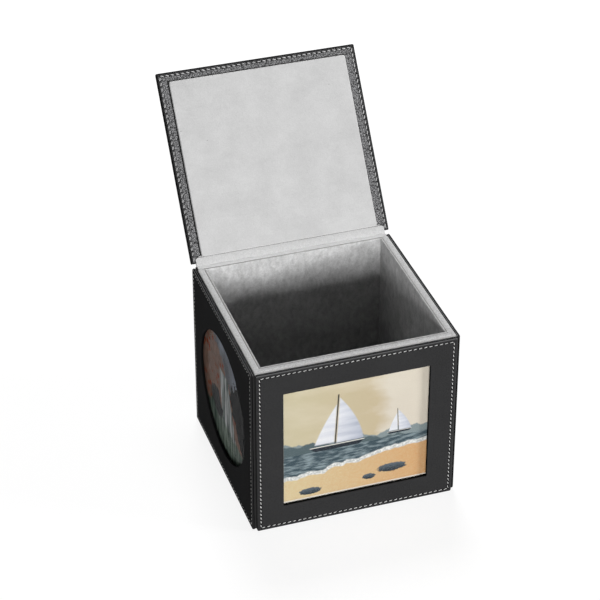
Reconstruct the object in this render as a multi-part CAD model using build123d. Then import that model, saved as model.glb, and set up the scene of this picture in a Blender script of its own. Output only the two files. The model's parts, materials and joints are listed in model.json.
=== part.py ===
from build123d import *
import math
import os

# A photo storage box: a board core lined with suede, leather-covered panels on
# its four sides, and a hinged lid, shown open.  Three of the panels are frames
# whose pockets take a print from above.
# Millimetres, +Z up.  The origin is the centre of the underside, and the front faces -Y.

# ---- the whole box
box_width = 152.0            # across the faces of the left and right panels
box_depth = 145.5            # across the faces of the front and back panels
box_height = 135.0           # from the floor to the rim

# ---- sheet goods
leather = 0.4                # covering leather
suede = 0.4                  # lining suede
core_board = 3.8             # the four walls of the core
floor_board = 3.2            # the bottom of the core
panel_board = 1.2            # board inside the frame panels
back_panel_card = 0.8        # thinner card inside the back panel
lining_card = 1.2            # card behind the wall and floor linings
base_cover = 1.0             # pad glued under the box

# ---- side panels and their pockets
pocket_gap = 1.4             # between a frame panel and the core
panel_overhang = 0.5         # the panels are wider than the core by this at each side
panel_lift = 0.5             # the panels hang this far above the floor
panel_drop = 1.0             # the frame panels end this far below the rim
panel_turn_in = 8.0          # leather turned over behind the panel's edges
edge_round = 0.35            # rounding of the leather's outer edges
window_centre = 67.0         # height of the middle of every window
window_width = 107.0         # of the front rectangle and of the ovals at the sides
window_height = 96.0
front_strip = 9.0            # card strips that close the front pocket's sides
side_strip = 6.4             # and those of the left and right pockets
strip_inset = 0.5            # the strips stop short of the panel's edges
pocket_foot = 5.0            # height of the strip that the print stands on

# ---- windows and prints
print_paper = 0.3            # the print lies against the core
print_drop = 3.0             # its top edge, below the rim
print_clearance = 0.6        # on each side, between print or sheet and strip
window_sheet = 0.25          # clear plastic sheet over the print
window_drop = 1.5            # its top edge, below the rim
window_slack = 0.05          # between print and sheet

# ---- lid and hinge
lid_setback = 2.5            # the closed lid's free edge, behind the front panel's face
lid_board = 3.0
lid_lining_card = 0.6
lid_clearance = 0.9          # between the closed lid's border and the rim
lid_side_border = 8.5        # width of the leather border beside the lid's lining
lid_end_border = 7.0         # and beyond the lining, at the lid's free edge
lid_lining_setback = 4.1     # from the lid board's hinge edge to the lining
open_angle = 126.0           # how far the lid swings from closed
hinge_gap = 1.2              # from the hinge line to the lid board
hinge_leather = 0.5
hinge_setback = 3.75         # the hinge is this much narrower than the lid, at each side
border_end = 2.9             # length of the narrow end of the lid's border, beside the hinge
border_slant = 2.9           # and of the slanted cut where it narrows

# ---- for cutting
cut_past = 1.0               # a cut that goes right through runs on by this

# ---- worked out from the sizes above
panel_thickness = panel_board + 2 * leather
back_panel_thickness = back_panel_card + 2 * leather
panel_offset = panel_thickness + pocket_gap      # from the core to the face of a frame panel
back_offset = back_panel_thickness + hinge_leather
core_x = box_width / 2 - panel_offset            # outer face of the core, leather included
core_y = (box_depth - panel_offset - back_offset) / 2
board_x, board_y = core_x - leather, core_y - leather
inner_x, inner_y = board_x - core_board, board_y - core_board
lining = lining_card + suede
room_x, room_y = inner_x - lining, inner_y - lining
rim = box_height
board_top = rim - suede
floor_low = base_cover
floor_top = floor_low + floor_board
room_floor = floor_top + lining
lid_x = box_width / 2
hinge_x = lid_x - hinge_setback
hinge_y = core_y + hinge_leather                 # the fold is right behind the core
hinge_z = rim + lid_clearance
slope = math.radians(180 - open_angle)           # of the open lid, above the horizontal


# ---- small helpers
def block(x, y, z):
    """A plain board between the given low and high corners."""
    size = [high - low for low, high in (x, y, z)]
    middle = [(high + low) / 2 for low, high in (x, y, z)]
    return Pos(*middle) * Box(*size)


def both(half):
    """The span from -half to half."""
    return (-half, half)


def side_plane(side, distance_x, distance_y):
    """The plane of one wall: across, up and outwards are its x, y and z."""
    outward = {"front": (0, -1, 0), "right": (1, 0, 0), "back": (0, 1, 0), "left": (-1, 0, 0)}[side]
    across = (-outward[1], outward[0], 0)
    origin = (outward[0] * distance_x, outward[1] * distance_y, 0)
    return Plane(origin=origin, x_dir=across, z_dir=outward)


def panel_width(side):
    return 2 * (panel_overhang + (core_x if side in ("front", "back") else core_y))


def hinge_strip(points):
    """A strip as wide as the hinge, from its outline in the YZ plane."""
    outline = make_face(Polyline(*[(0, y, z) for y, z in points], close=True))
    return extrude(outline, amount=hinge_x, both=True, dir=(1, 0, 0))


def lid_point(along, out):
    """A point of the open lid: along it from the hinge line, and out from its inside face."""
    return (hinge_y + along * math.cos(slope) + out * math.sin(slope),
            hinge_z + along * math.sin(slope) - out * math.cos(slope))


def opened(piece):
    """Swing a piece of the closed lid to the open position."""
    return piece.rotate(Axis((0, hinge_y, hinge_z), (-1, 0, 0)), open_angle)


# ---- the core
def make_base_cover():
    return block(both(core_x), both(core_y), (0, base_cover))


def make_base_board():
    return block(both(board_x), both(board_y), (floor_low, floor_top))


def make_wall_board(side):
    """The front and back walls run the full width, and the side walls stand between them."""
    if side in ("front", "back"):
        sign = -1 if side == "front" else 1
        faces = sorted((sign * inner_y, sign * board_y))
        return block(both(board_x), faces, (floor_top, board_top))
    sign = -1 if side == "left" else 1
    faces = sorted((sign * inner_x, sign * board_x))
    return block(faces, both(inner_y), (floor_top, board_top))


def make_core_wrap():
    """One sheet of leather round all four walls."""
    outside = block(both(core_x), both(core_y), (floor_low, board_top))
    return outside - block(both(board_x), both(board_y), (floor_low - cut_past, board_top + cut_past))


# ---- the lining
def make_base_lining_card():
    return block(both(inner_x), both(inner_y), (floor_top, floor_top + lining_card))


def make_base_lining_suede():
    return block(both(inner_x), both(inner_y), (floor_top + lining_card, room_floor))


def lining_blank(side, thickness):
    """A sheet against the inside of one wall, from the floor lining to the board's top."""
    if side in ("front", "back"):
        sign = -1 if side == "front" else 1
        faces = sorted((sign * inner_y, sign * (inner_y - thickness)))
        return block(both(inner_x), faces, (room_floor, board_top))
    sign = -1 if side == "left" else 1
    faces = sorted((sign * inner_x, sign * (inner_x - thickness)))
    return block(faces, both(room_y), (room_floor, board_top))


def make_lining_card(side):
    return lining_blank(side, lining_card)


def make_lining_suede(side):
    """Suede over the card's inner face and its top edge."""
    sheet = lining_blank(side, lining)
    limits = sheet.bounding_box()
    top = block((limits.min.X, limits.max.X), (limits.min.Y, limits.max.Y), (board_top, rim))
    return sheet - lining_blank(side, lining_card) + top


def make_rim_suede(side):
    """A strip over the top of the core, mitred at the front corners."""
    if side == "front":
        corners = [(-core_x, -core_y), (core_x, -core_y), (inner_x, -inner_y), (-inner_x, -inner_y)]
    else:
        sign = -1 if side == "left" else 1
        corners = [(sign * core_x, -core_y), (sign * inner_x, -inner_y),
                   (sign * inner_x, inner_y), (sign * core_x, inner_y)]
    outline = make_face(Polyline(*corners, close=True))
    return Pos(0, 0, board_top) * extrude(outline, amount=suede, dir=(0, 0, 1))


# ---- the side panels
def aperture(side, grow):
    """The window's outline in the panel's own plane, grown all round, or None on the back."""
    if side == "back":
        return None
    if side == "front":
        shape = Rectangle(window_width + 2 * grow, window_height + 2 * grow)
    else:
        shape = Ellipse(window_width / 2 + grow, window_height / 2 + grow)
    return Pos(0, window_centre) * shape


def panel_slab(side, top, inset, low, high):
    """A sheet of the panel's outline, inset all round, between two depths from its back."""
    width = panel_width(side) - 2 * inset
    bottom = panel_lift + inset
    return block(both(width / 2), (bottom, top - inset), (low, high))


def panel_top(side):
    """The back panel stops under the hinge, and the frame panels a little below the rim."""
    return board_top - hinge_leather if side == "back" else rim - panel_drop


def panel_depth(side):
    """Thickness of the panel, leather included."""
    return back_panel_thickness if side == "back" else panel_thickness


def panel_gap(side):
    """From the core to the panel's back: a pocket, or the hinge's leather behind the back panel."""
    return hinge_leather if side == "back" else pocket_gap


def place_on_side(piece, side):
    """From the panel's own frame, in which its back is at zero, to its place on the box."""
    gap = panel_gap(side)
    return side_plane(side, core_x + gap, core_y + gap) * piece


def make_panel_board(side):
    board = panel_slab(side, panel_top(side), leather, leather, panel_depth(side) - leather)
    if side != "back":
        board -= extrude(aperture(side, leather), amount=panel_depth(side))
    return place_on_side(board, side)


def make_panel_leather(side):
    """Leather over the face, the edges and the window's edges, turned in behind."""
    depth = panel_depth(side)
    cover = panel_slab(side, panel_top(side), 0, 0, depth)
    cover = fillet(cover.faces().sort_by(Axis.Z)[-1].edges(), edge_round)
    bare_back = panel_slab(side, panel_top(side), panel_turn_in, 0, leather)
    board = panel_slab(side, panel_top(side), leather, leather, depth - leather)
    if side != "back":
        bare_back -= extrude(aperture(side, panel_turn_in), amount=leather)
        board -= extrude(aperture(side, leather), amount=depth)
        cover -= extrude(aperture(side, 0), amount=depth)
        face = cover.faces().sort_by(Axis.Z)[-1]
        cover = fillet(face.inner_wires()[0].edges(), edge_round)
    return place_on_side(cover - board - bare_back, side)


# ---- the pockets behind the frame panels
def strip_width(side):
    return front_strip if side == "front" else side_strip


def pocket_half(side):
    return panel_width(side) / 2 - strip_width(side)


def make_pocket_strip(side, place):
    """A card strip between the panel and the core, at one edge of the pocket."""
    if place == "bottom":
        strip = block(both(pocket_half(side)), (base_cover, pocket_foot), (-pocket_gap, 0))
    else:
        sign = -1 if place == "left" else 1
        edge = panel_width(side) / 2 - strip_inset
        across = sorted((sign * pocket_half(side), sign * edge))
        strip = block(across, (base_cover, panel_top(side) - strip_inset), (-pocket_gap, 0))
    return place_on_side(strip, side)


def pocket_sheet(side, drop, low, thickness):
    """A sheet standing in the pocket, at a distance from the core."""
    half = pocket_half(side) - print_clearance
    depth = (low - pocket_gap, low + thickness - pocket_gap)
    return place_on_side(block(both(half), (pocket_foot, rim - drop), depth), side)


def make_print(side):
    return pocket_sheet(side, print_drop, 0, print_paper)


def make_window(side):
    return pocket_sheet(side, window_drop, print_paper + window_slack, window_sheet)


# ---- the lid, made closed and swung open
lid_back = hinge_y - hinge_gap
lid_front = -core_y - panel_offset + lid_setback
lid_inside = hinge_z
lid_outside = hinge_z + leather + lid_board + leather
lid_lining_x = lid_x - lid_side_border
lid_lining_back = lid_back - lid_lining_setback
lid_lining_front = lid_front + lid_end_border


def lid_board_blank():
    return block(both(lid_x - leather), (lid_front + leather, lid_back),
                 (lid_inside + leather, lid_outside - leather))


def make_lid_board():
    return opened(lid_board_blank())


def border_opening():
    """The area inside the lid's leather border, as deep as the leather.

    It fits round the lining, and widens beside the hinge by a slanted cut."""
    end = lid_back - border_end
    wide_from = end - border_slant
    right = [(lid_lining_x, lid_lining_front), (lid_lining_x, wide_from), (hinge_x, end), (hinge_x, lid_back)]
    left = [(-x, y) for x, y in reversed(right)]
    outline = make_face(Polyline(*right, *left, close=True))
    return Pos(0, 0, lid_inside) * extrude(outline, amount=leather, dir=(0, 0, 1))


def make_lid_leather():
    """Leather over the lid's outside and three edges, turned in as a border."""
    cover = block(both(lid_x), (lid_front, lid_back), (lid_inside, lid_outside))
    outer_edges = cover.faces().sort_by(Axis.Z)[-1].edges().sort_by(Axis.Y)
    cover = fillet(outer_edges[:-1], edge_round)
    return opened(cover - lid_board_blank() - border_opening())


def lid_lining_blank(inset):
    """The raised lining on the lid's inside, inset all round and from its face."""
    return block(both(lid_lining_x - inset), (lid_lining_front + inset, lid_lining_back - inset),
                 (lid_inside + leather - lid_lining_card - suede + inset, lid_inside + leather))


def make_lid_lining_card():
    return opened(lid_lining_blank(suede))


def make_lid_lining_suede():
    """Suede over the card's face and its four edges."""
    return opened(lid_lining_blank(0) - lid_lining_blank(suede))


# ---- the hinge: leather outside and suede inside, bonded together across the gap
def make_hinge_leather():
    """From behind the back panel, over the gap, and up the edge of the lid board."""
    top, under = board_top, board_top - hinge_leather
    near_lid = lid_point(hinge_gap, leather)
    outline = [(core_y, base_cover), (core_y, top), near_lid,
               lid_point(hinge_gap, leather + lid_board + leather),
               lid_point(hinge_gap - hinge_leather, leather + lid_board + leather),
               lid_point(hinge_gap - hinge_leather, leather + hinge_leather),
               (core_y + hinge_leather, under), (core_y + hinge_leather, base_cover)]
    return hinge_strip(outline)


def make_hinge_lining():
    """From the wall lining, over the rim and the gap, to the edge of the lid's lining."""
    outline = [(inner_y, board_top), (core_y, board_top), lid_point(hinge_gap, leather),
               lid_point(hinge_gap, 0), (core_y - suede / 2, rim), (inner_y, rim)]
    on_lid = border_opening() & block(both(lid_x), (lid_lining_back, lid_back), (lid_inside, lid_outside))
    return hinge_strip(outline) + opened(on_lid)


# ---- the list of pieces
sides = ("front", "right", "back", "left")
frames = ("front", "right", "left")

pieces = {
    "base_cover": make_base_cover(),
    "base_board": make_base_board(),
    "core_wrap": make_core_wrap(),
    "base_lining_card": make_base_lining_card(),
    "base_lining_suede": make_base_lining_suede(),
    "hinge_leather": make_hinge_leather(),
    "hinge_lining": make_hinge_lining(),
    "lid_board": make_lid_board(),
    "lid_leather": make_lid_leather(),
    "lid_lining_card": make_lid_lining_card(),
    "lid_lining_suede": make_lid_lining_suede(),
}
for side in sides:
    pieces[f"{side}_wall_board"] = make_wall_board(side)
    pieces[f"{side}_lining_card"] = make_lining_card(side)
    pieces[f"{side}_lining_suede"] = make_lining_suede(side)
    pieces[f"{side}_panel_board"] = make_panel_board(side)
    pieces[f"{side}_panel_leather"] = make_panel_leather(side)
for side in frames:
    pieces[f"{side}_rim_suede"] = make_rim_suede(side)
    pieces[f"{side}_window"] = make_window(side)
    pieces[f"{side}_print"] = make_print(side)
    for place in ("left", "right", "bottom"):
        pieces[f"{side}_pocket_strip_{place}"] = make_pocket_strip(side, place)

os.makedirs("parts", exist_ok=True)
for name, piece in pieces.items():
    export_step(piece, f"parts/{name}.step")
print(len(pieces), "pieces")
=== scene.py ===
"""A photo storage box: leather-covered panels round a suede-lined core, and an open hinged lid.

Everything is in metres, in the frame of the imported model: +Z up, the front towards -Y."""

import json
import math

import bmesh
import bpy
import numpy as np
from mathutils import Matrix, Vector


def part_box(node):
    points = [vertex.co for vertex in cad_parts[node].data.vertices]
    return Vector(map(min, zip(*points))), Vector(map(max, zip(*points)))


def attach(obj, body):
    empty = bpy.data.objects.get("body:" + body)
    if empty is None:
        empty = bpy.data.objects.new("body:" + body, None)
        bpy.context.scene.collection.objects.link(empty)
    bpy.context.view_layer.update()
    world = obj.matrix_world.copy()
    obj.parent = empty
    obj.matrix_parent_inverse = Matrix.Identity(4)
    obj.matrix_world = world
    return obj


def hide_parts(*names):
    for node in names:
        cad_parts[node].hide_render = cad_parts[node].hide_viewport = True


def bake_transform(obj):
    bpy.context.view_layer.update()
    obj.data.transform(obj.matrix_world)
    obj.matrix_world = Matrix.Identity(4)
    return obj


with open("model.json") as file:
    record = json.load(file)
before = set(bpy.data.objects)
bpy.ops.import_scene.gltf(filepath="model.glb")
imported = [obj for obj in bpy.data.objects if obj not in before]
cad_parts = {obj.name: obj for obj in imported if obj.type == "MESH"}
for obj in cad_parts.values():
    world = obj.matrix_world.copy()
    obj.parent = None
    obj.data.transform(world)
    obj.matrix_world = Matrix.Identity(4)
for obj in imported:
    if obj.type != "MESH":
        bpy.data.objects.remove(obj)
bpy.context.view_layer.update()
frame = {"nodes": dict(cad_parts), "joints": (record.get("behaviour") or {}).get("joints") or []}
mm = 0.001

# ---- Camera
# It stands in front of the box, a little to its left and well above it, and looks through a
# long lens.
camera_place = (-0.4331, -1.2456, 1.0082)
lens_length = 134.44         # mm, on a 36 mm sensor
camera_tilt = 56.485         # degrees from straight down
camera_turn = -18.462        # degrees, to look a little to the right

scene = bpy.context.scene
scene.view_settings.view_transform = "Standard"
camera = bpy.data.objects.new("camera", bpy.data.cameras.new("camera"))
camera.data.lens = lens_length
camera.location = camera_place
camera.rotation_euler = (math.radians(camera_tilt), 0, math.radians(camera_turn))
scene.collection.objects.link(camera)
scene.camera = camera

# ---- Floor, background and lamps
# A white studio table that runs on into a white background.  A broad soft lamp stands low in front,
# a smaller one low at the right and one low behind.  The last hangs over the box from behind, where
# the lid keeps it out of the box.
background_white = 1.0
fill_light = 0.02            # what the surroundings give to the object
floor_colour = (0.22, 0.22, 0.22, 1)
glow_near = 0.86             # what the eye sees of the floor besides its own lit colour,
glow_far = 1.0               # by the object and away from it
glow_reach = (0.35, 0.9)     # where one turns into the other
floor_half = 4.0


class Link:
    """An output of a material's node.  Sums and products of links add the Math nodes that work
    them out, and node() adds a node of any other kind."""

    def __init__(self, tree, socket=None):
        self.tree = tree
        self.socket = socket

    def node(self, kind, settings=None, inputs=None, output=0):
        """Its settings come first, then numbers, colours or links for its inputs."""
        made = self.tree.nodes.new("ShaderNode" + kind)
        for name, value in (settings or {}).items():
            setattr(made, name, value)
        for name, value in (inputs or {}).items():
            if isinstance(value, Link):
                self.tree.links.new(value.socket, made.inputs[name])
            else:
                made.inputs[name].default_value = value
        return Link(self.tree, made.outputs[output] if len(made.outputs) else None)

    def math(self, operation, *others):
        return self.node("Math", {"operation": operation}, dict(enumerate((self,) + others)))

    def __add__(self, other):
        return self.math("ADD", other)

    def __sub__(self, other):
        return self.math("SUBTRACT", other)

    def __rsub__(self, other):
        return self.node("Math", {"operation": "SUBTRACT"}, {0: other, 1: self})

    def __mul__(self, other):
        return self.math("MULTIPLY", other)

    def __truediv__(self, other):
        return self.math("DIVIDE", other)

    __radd__ = __add__
    __rmul__ = __mul__

    def clamp(self):
        """Cut off below 0 and above 1."""
        return self.node("Clamp", inputs={0: self})

    def inside(self, softness):
        """1 where the link is positive and 0 where it is negative, over a soft edge."""
        return (self / softness + 0.5).clamp()


def mix(share, first, second):
    """The first colour where share is 0, and the second where it is 1."""
    start = share if isinstance(share, Link) else first
    return start.node("Mix", {"data_type": "RGBA"}, {0: share, 6: first, 7: second}, output=2)


def new_material(name, recipe):
    """A material whose surface is what the recipe makes of the object's own coordinates."""
    made = bpy.data.materials.new(name)
    made.use_nodes = True
    made.node_tree.nodes.clear()
    place = Link(made.node_tree).node("TexCoord", output="Object")
    place.node("OutputMaterial", inputs={"Surface": recipe(place)})
    return made


def seen_directly(start):
    """1 for rays from the camera and for those in a mirror or through glass, and 0 for the rest."""
    rays = [start.node("LightPath", output=name)
            for name in ("Is Camera Ray", "Is Glossy Ray", "Is Transmission Ray")]
    return (rays[0] + rays[1] + rays[2]).clamp()


def floor_recipe(place):
    lit = place.node("BsdfDiffuse", inputs={"Color": floor_colour})
    distance = place.node("VectorMath", {"operation": "LENGTH"}, {0: place}, output=1)
    away = ((distance - glow_reach[0]) / (glow_reach[1] - glow_reach[0])).clamp()
    glow = place.node("Emission", inputs={
        "Color": mix(away, (glow_near,) * 3 + (1,), (glow_far,) * 3 + (1,)),
        "Strength": seen_directly(place)})
    return place.node("AddShader", inputs={0: lit, 1: glow})


world = bpy.data.worlds.new("studio")
world.use_nodes = True
world.node_tree.nodes.clear()
sky = Link(world.node_tree)
seen = seen_directly(sky)
brightness = seen * background_white + (1 - seen) * fill_light
surroundings = sky.node("Background", inputs={"Color": (1, 1, 1, 1), "Strength": brightness})
sky.node("OutputWorld", inputs={"Surface": surroundings})
scene.world = world

floor_mesh = bpy.data.meshes.new("floor")
floor_mesh.from_pydata([(x * floor_half, y * floor_half, 0) for x, y in
                        ((-1, -1), (1, -1), (1, 1), (-1, 1))], [], [(0, 1, 2, 3)])
floor = bpy.data.objects.new("floor", floor_mesh)
scene.collection.objects.link(floor)
floor_mesh.materials.append(new_material("white_table", floor_recipe))

lamp_aim = (0, 0, 0.12)      # near the middle of the box
lamps = {                    # each lamp's place, width, height and watts
    "front_lamp": ((-0.75, -3.88, 0.75), 2.4, 0.8, 122),
    "right_lamp": ((3.55, -1.73, 0.75), 1.2, 0.8, 112),
    "back_lamp": ((0.25, 1.05, 2.1), 0.6, 0.6, 24),
    "rear_lamp": ((0.3, 3.9, 1.0), 2.0, 0.8, 60),
}
for name, (place, width, height, power) in lamps.items():
    data = bpy.data.lights.new(name, "AREA")
    data.shape, data.size, data.size_y, data.energy = "RECTANGLE", width, height, power
    lamp = bpy.data.objects.new(name, data)
    lamp.location = place
    x, y, z = np.array(place) - np.array(lamp_aim)
    lamp.rotation_euler = (math.atan2(math.hypot(x, y), z), 0, math.atan2(y, x) + math.pi / 2)
    scene.collection.objects.link(lamp)

# ---- Boards and cards
# Grey board of waste paper makes the core, the panels and the lid, and thinner card the linings
# and pocket strips.  Only their cut edges could ever be seen.
board_grey = (0.30, 0.285, 0.26, 1)
card_grey = (0.42, 0.40, 0.37, 1)
shade_black_card = (0.025, 0.025, 0.025, 1)    # the pocket strips and the lid's board: black, as painted shade in the slots seen from above and on the board's edge by the hinge
                                         # by the hinge is inked
ply_thickness = 0.4 * mm
pulp_size = 1.2 * mm
pulp_depth = 0.05 * mm


def noise(place, size, detail=2.0):
    """Cloudy noise from 0 to 1, with patches of about this size."""
    return place.node("TexNoise", inputs={"Vector": place, "Scale": 1 / size, "Detail": detail})


def stretched(place, x, y, z):
    """The coordinates times a factor along each axis: a small one draws a pattern out."""
    return place.node("Mapping", inputs={"Vector": place, "Scale": (x, y, z)})


def shade(colour, factor):
    """A colour made lighter or darker by a factor."""
    return tuple(channel * factor for channel in colour[:3]) + (1,)


def tones(share, colour, first, second):
    """From one shade of a colour to another."""
    return mix(share, shade(colour, first), shade(colour, second))


def bump(place, height, depth):
    """The slight relief of a surface, this deep where its height goes from 0 to 1."""
    return place.node("Bump", inputs={"Height": height, "Distance": depth})


def board_recipe(colour):
    def recipe(place):
        plies = noise(stretched(place, 0.2, 0.2, 1), ply_thickness)
        pulp = noise(place, pulp_size, 4)
        return place.node("BsdfPrincipled", inputs={
            "Base Color": tones(pulp * 0.6 + plies * 0.4, colour, 0.8, 1.2),
            "Roughness": 0.9, "Specular IOR Level": 0.2,
            "Normal": bump(place, pulp, pulp_depth)})
    return recipe


def dress(name, material):
    """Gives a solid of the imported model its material."""
    slots = frame["nodes"][name].data.materials
    slots.clear()
    slots.append(material)


finishes = {"board": new_material("grey_board", board_recipe(board_grey)),
            "card": new_material("card", board_recipe(card_grey)),
            "strip": new_material("black_card", board_recipe(shade_black_card))}
for name in frame["nodes"]:
    for kind, finish in finishes.items():
        if name.endswith(kind) or f"pocket_{kind}" in name:
            dress(name, finishes["strip"] if name == "lid_board" else finish)

# ---- Leather round the core, and the pad under it
# One strip of black bonded leather goes round the four walls.  It shows only in the slots behind
# the panels.  The pad is black felt, glued under the bottom board.
leather_black = (0.036, 0.036, 0.037, 1)
felt_black = (0.022, 0.022, 0.023, 1)
grain_size = 0.8 * mm
grain_depth = 0.05 * mm
pore_size = 0.22 * mm
tone_patch = 28 * mm         # of the leather's slow changes
felt_fibre = 0.3 * mm
felt_depth = 0.15 * mm


def warped(place, patch, shift):
    """The coordinates pushed about by noise with patches of this size, up to this far."""
    push = place.node("TexNoise", inputs={"Vector": place, "Scale": 1 / patch}, output=1)
    centred = push.node("VectorMath", {"operation": "SUBTRACT"}, {0: push, 1: (0.5, 0.5, 0.5)})
    scaled = centred.node("VectorMath", {"operation": "SCALE"}, {0: centred, "Scale": 2 * shift})
    return place.node("VectorMath", {"operation": "ADD"}, {0: place, 1: scaled})


def mark(place, output):
    """A value that the maker of the mesh left at its points, in the map called finish."""
    marks = place.node("UVMap", {"uv_map": "finish"})
    return marks.node("SeparateXYZ", inputs={0: marks}, output=output)


def leather_recipe(place):
    """Fine pebbled grain over slow changes of tone.  The marks on the mesh say where the leather is
    rubbed shiny, with a painted highlight lightening it, and where painted shade darkens it: in the
    seams, along the panels' edges and round the windows."""
    pebbles = place.node("TexVoronoi", {"feature": "SMOOTH_F1"}, {
        "Vector": warped(place, 2 * grain_size, 0.4 * grain_size), "Scale": 1 / grain_size,
        "Smoothness": 0.4})
    pores = noise(place, pore_size)
    broad = noise(place, tone_patch, 3)
    wear_and_highlight, painted_shade = mark(place, "X"), mark(place, "Y")
    worn = (broad * 0.5 + pebbles * 0.8 - 0.1).clamp()
    tone = tones(worn, leather_black, 1.25, 0.75)
    # Painted highlight: rubbed edges are lightened up to four and a half times the leather's black.
    tone = mix(wear_and_highlight * 0.5, tone, shade(leather_black, 4.5))
    # Painted shade where the mesh is marked: seams, holes, the sides of the panels' edges and round the
    # windows.
    tone = mix(painted_shade, tone, shade(leather_black, 0.1))
    height = (1 - pebbles) * 0.8 + pores * 0.2
    return place.node("BsdfPrincipled", inputs={
        "Base Color": tone, "Roughness": 0.82 + broad * 0.08, "Specular IOR Level": 0.005,
        "Coat Weight": wear_and_highlight * (0.35 + pores * 0.5), "Coat Roughness": 0.42,
        "Normal": bump(place, height, grain_depth)})


def felt_recipe(place):
    fibres = noise(place, felt_fibre, 4)
    return place.node("BsdfPrincipled", inputs={
        "Base Color": tones(fibres, felt_black, 0.6, 1.5), "Roughness": 0.95,
        "Specular IOR Level": 0.1, "Sheen Weight": 0.15,
        "Normal": bump(place, fibres, felt_depth)})


panel_leather = new_material("panel_leather", leather_recipe)
dress("core_wrap", panel_leather)
dress("base_cover", new_material("felt", felt_recipe))

# ---- Suede linings of the walls and the floor
# Light grey suede is glued over card and rolled over its top edge, so each wall ends in a soft round
# lip.  Deeper down the walls are painted darker, as painted shade.
suede_grey = (0.60, 0.60, 0.60, 1)
rim_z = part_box("front_lining_suede")[1].z
# The lip from the board's side to the room's: shares of the lining's thickness, and the drop from its
# crown.  A crevice parts it from the rim's strip, darkened with painted shade.
lip_shares = np.array([0, 0.10, 0.17, 0.25, 0.38, 0.52, 0.65, 0.78, 0.87, 0.94, 0.98, 1])
lip_drops = np.array([0.60, 0.50, 0.34, 0.14, 0.04, 0, 0.01, 0.05, 0.13, 0.27, 0.45, 0.70]) * mm
lip_shade = np.array([1, 0.9, 0.7, 0.3, 0, 0, 0, 0, 0, 0, 0, 0])
shade_from, shade_to = 12 * mm, 75 * mm     # below the rim, where the painted shade starts and where it is full
wall_row, wall_columns = 3.0 * mm, 61     # the mesh of a wall: spacing of its rows, and columns
floor_columns, floor_rows = 70, 66
wave_depth = 0.12 * mm       # unevenness of the glued suede,
wave_start = 2 * mm          # from this far below the rim down
wave_lengths = np.array([61, 43, 31, 23, 17]) * mm
nap_fibre, nap_tuft, nap_stroke, nap_patch = 0.8 * mm, 1.9 * mm, 3.4 * mm, 17 * mm
nap_turns = 9 * mm, 4 * mm   # the nap lies in curves of this size, pushed aside this far
nap_depth = 0.12 * mm
speck_spacing = 13 * mm
merge_distance = 1e-7
sharp_edge = math.radians(50)


def grid_faces(rows, columns, closed_rows=False, closed_columns=False):
    """Quads between the points of a grid, joined end to end where it is closed."""
    row, column = np.meshgrid(np.arange(rows if closed_rows else rows - 1),
                              np.arange(columns if closed_columns else columns - 1), indexing="ij")
    next_row, next_column = (row + 1) % rows, (column + 1) % columns
    corners = [row * columns + column, row * columns + next_column,
               next_row * columns + next_column, next_row * columns + column]
    return np.stack(corners, -1).reshape(-1, 4)


def new_piece(name, points, faces, materials, marks=None, kinds=None):
    """A mesh of these points and faces, with two values per point in the map called finish, and
    for each face the number of its material.  Points that fall together are merged, which closes
    poles and end caps, and the faces are turned outwards."""
    mesh = bpy.data.meshes.new(name)
    faces = faces.tolist() if isinstance(faces, np.ndarray) else faces
    mesh.from_pydata(np.asarray(points, float).reshape(-1, 3).tolist(), [], faces)
    if marks is not None:
        corner = np.zeros(len(mesh.loops), np.int64)
        mesh.loops.foreach_get("vertex_index", corner)
        layer = mesh.uv_layers.new(name="finish")
        layer.data.foreach_set("uv", np.asarray(marks, float).reshape(-1, 2)[corner].ravel())
    for material in materials:
        mesh.materials.append(material)
    if kinds is not None:
        mesh.polygons.foreach_set("material_index", kinds)
    shape = bmesh.new()
    shape.from_mesh(mesh)
    bmesh.ops.remove_doubles(shape, verts=shape.verts, dist=merge_distance)
    bmesh.ops.recalc_face_normals(shape, faces=shape.faces)
    shape.to_mesh(mesh)
    shape.free()
    mesh.shade_smooth()
    mesh.set_sharp_from_angle(angle=sharp_edge)
    piece = bpy.data.objects.new(name, mesh)
    scene.collection.objects.link(piece)
    return piece


def tube_faces(points):
    """The faces of a tube of closed rings, with one face over each end."""
    numbers = np.arange(points.shape[0] * points.shape[1]).reshape(points.shape[:2])
    return grid_faces(*points.shape[:2], closed_columns=True).tolist() + numbers[[0, -1]].tolist()


def shade_marks(shade_share):
    """Marks for the map called finish: how dark painted shade makes each point, and none of the lighter
    mark.
    """
    return np.stack([0 * shade_share, shade_share], -1)


def uneven(a, b, seed):
    """Slow waves from -1 to 1 over a surface: sines of the chosen lengths, crossing each other."""
    turns = np.random.default_rng(seed).uniform(0, 2 * math.pi, (len(wave_lengths), 2))
    total = 0
    for (phase, direction), length in zip(turns, wave_lengths):
        total = total + np.sin((a * math.cos(direction) + b * math.sin(direction))
                               * 2 * math.pi / length + phase)
    return total / len(wave_lengths)


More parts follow.
